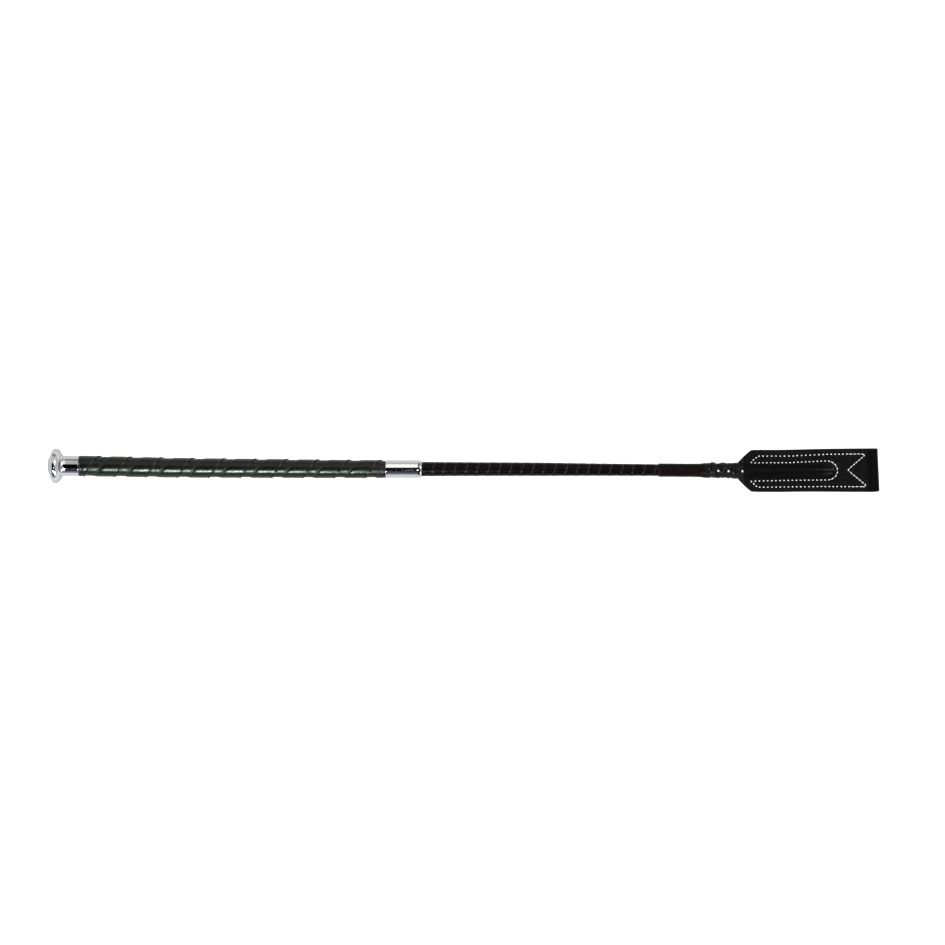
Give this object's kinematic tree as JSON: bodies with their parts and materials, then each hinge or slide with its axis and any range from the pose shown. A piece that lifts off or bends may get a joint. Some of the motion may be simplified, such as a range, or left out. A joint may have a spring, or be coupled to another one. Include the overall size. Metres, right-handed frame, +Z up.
{
  "type": "riding crop",
  "caption": "Slim riding crop with a domed chrome butt cap, spiral leather grip, chrome ferrule, taped tapering shaft and a flat stitched leather keeper.",
  "frame": {"origin": "middle of the footprint, on the surface that the crop lies on", "axes": "+X along the stick from the butt to the keeper, +Z up out of the keeper's flat face"},
  "size_m": [0.65, 0.0346, 0.027],
  "materials": {
    "chrome": "mirror-polished chrome plate with fine polishing lines",
    "steel": "plain steel",
    "edge_binding": "matt black edge ring",
    "fibreglass": "drawn glass-fibre rod",
    "core_plastic": "moulded dark grey plastic",
    "grip_leather": "waxed black leather with a faint olive cast",
    "strap_leather": "smooth black leather, semi-gloss, fine grain",
    "yarn": "black thread winding",
    "shaft_tape": "black spiral wrap with a slight brown cast and paler edges",
    "sleeve_leather": "thin smooth black leather sleeve",
    "tongue_leather": "stiff hide tongue",
    "keeper_leather": "deep black leather with a fine pebble grain",
    "white_thread": "white waxed saddler's thread"
  },
  "bodies": {
    "handle": {"end_cap": "chrome", "cap_stud": "steel", "grip_butt_ring": "edge_binding", "core_rod": "fibreglass", "handle_core": "core_plastic", "grip_sleeve": "grip_leather", "grip_strap": "strap_leather", "ferrule": "chrome", "ferrule_bush": "core_plastic", "shaft_underlay": "yarn", "shaft_tape": "shaft_tape"},
    "tip": {"tip_winding": "yarn", "tip_sleeve": "sleeve_leather", "neck_leather": "keeper_leather", "neck_tie_1": "white_thread", "neck_tie_2": "white_thread"},
    "keeper": {"neck_tie_3": "white_thread", "keeper_tongue": "tongue_leather", "keeper_leather": "keeper_leather", "keeper_seam_outer_front": "white_thread", "keeper_seam_inner_front": "white_thread", "keeper_seam_outer_back": "white_thread", "keeper_seam_inner_back": "white_thread"}
  },
  "joints": [
    {"name": "shaft_flex", "type": "hinge", "parent": "handle", "child": "tip", "pos_m": [0.059, 0, 0.0135], "axis": [0, 0, 1], "range_deg": [-20, 20], "stiffness_Nm_per_rad": 9, "deforming": ["core_rod", "shaft_underlay", "shaft_tape"]},
    {"name": "keeper_flex", "type": "hinge", "parent": "tip", "child": "keeper", "pos_m": [0.212, 0, 0.0135], "axis": [0, -1, 0], "range_deg": [-25, 40], "stiffness_Nm_per_rad": 0.6, "deforming": ["neck_leather", "keeper_tongue"]}
  ]
}
